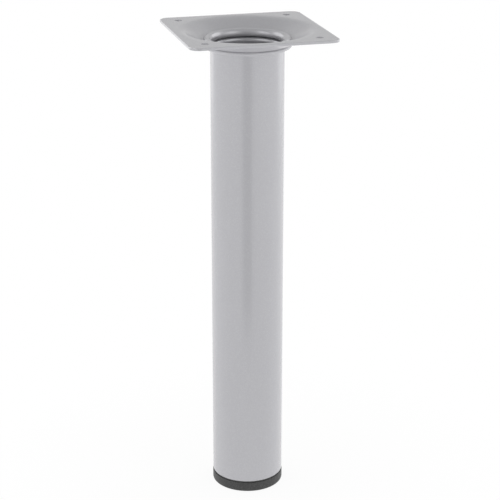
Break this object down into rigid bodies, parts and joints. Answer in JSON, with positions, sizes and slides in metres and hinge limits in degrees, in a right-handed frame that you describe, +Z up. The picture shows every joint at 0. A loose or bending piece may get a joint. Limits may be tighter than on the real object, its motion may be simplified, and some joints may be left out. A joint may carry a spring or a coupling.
{
  "type": "furniture leg",
  "caption": "Round steel tube leg crimped to a dished square top plate with screw holes at its corners, standing on a flat plastic foot that screws in and out to level it.",
  "frame": {"origin": "centre of the foot's floor face, on the tube's axis", "axes": "+Z up along the tube towards the top plate, X and Y along the sides of the plate"},
  "size_m": [0.12, 0.12, 0.4],
  "materials": {
    "silver_coat": "satin silver-grey powder coat",
    "black_plastic": "matt moulded black",
    "zinc_steel": "bright zinc plate"
  },
  "bodies": {
    "leg": {"top_plate": "silver_coat", "leg_tube": "silver_coat", "tube_plug": "black_plastic", "captive_nut": "zinc_steel"},
    "foot": {"foot_stud": "zinc_steel", "foot_disc": "black_plastic"}
  },
  "joints": [
    {"name": "foot_height", "type": "slide", "parent": "foot", "child": "leg", "axis": [0, 0, 1], "range_m": [0, 0.02]}
  ]
}
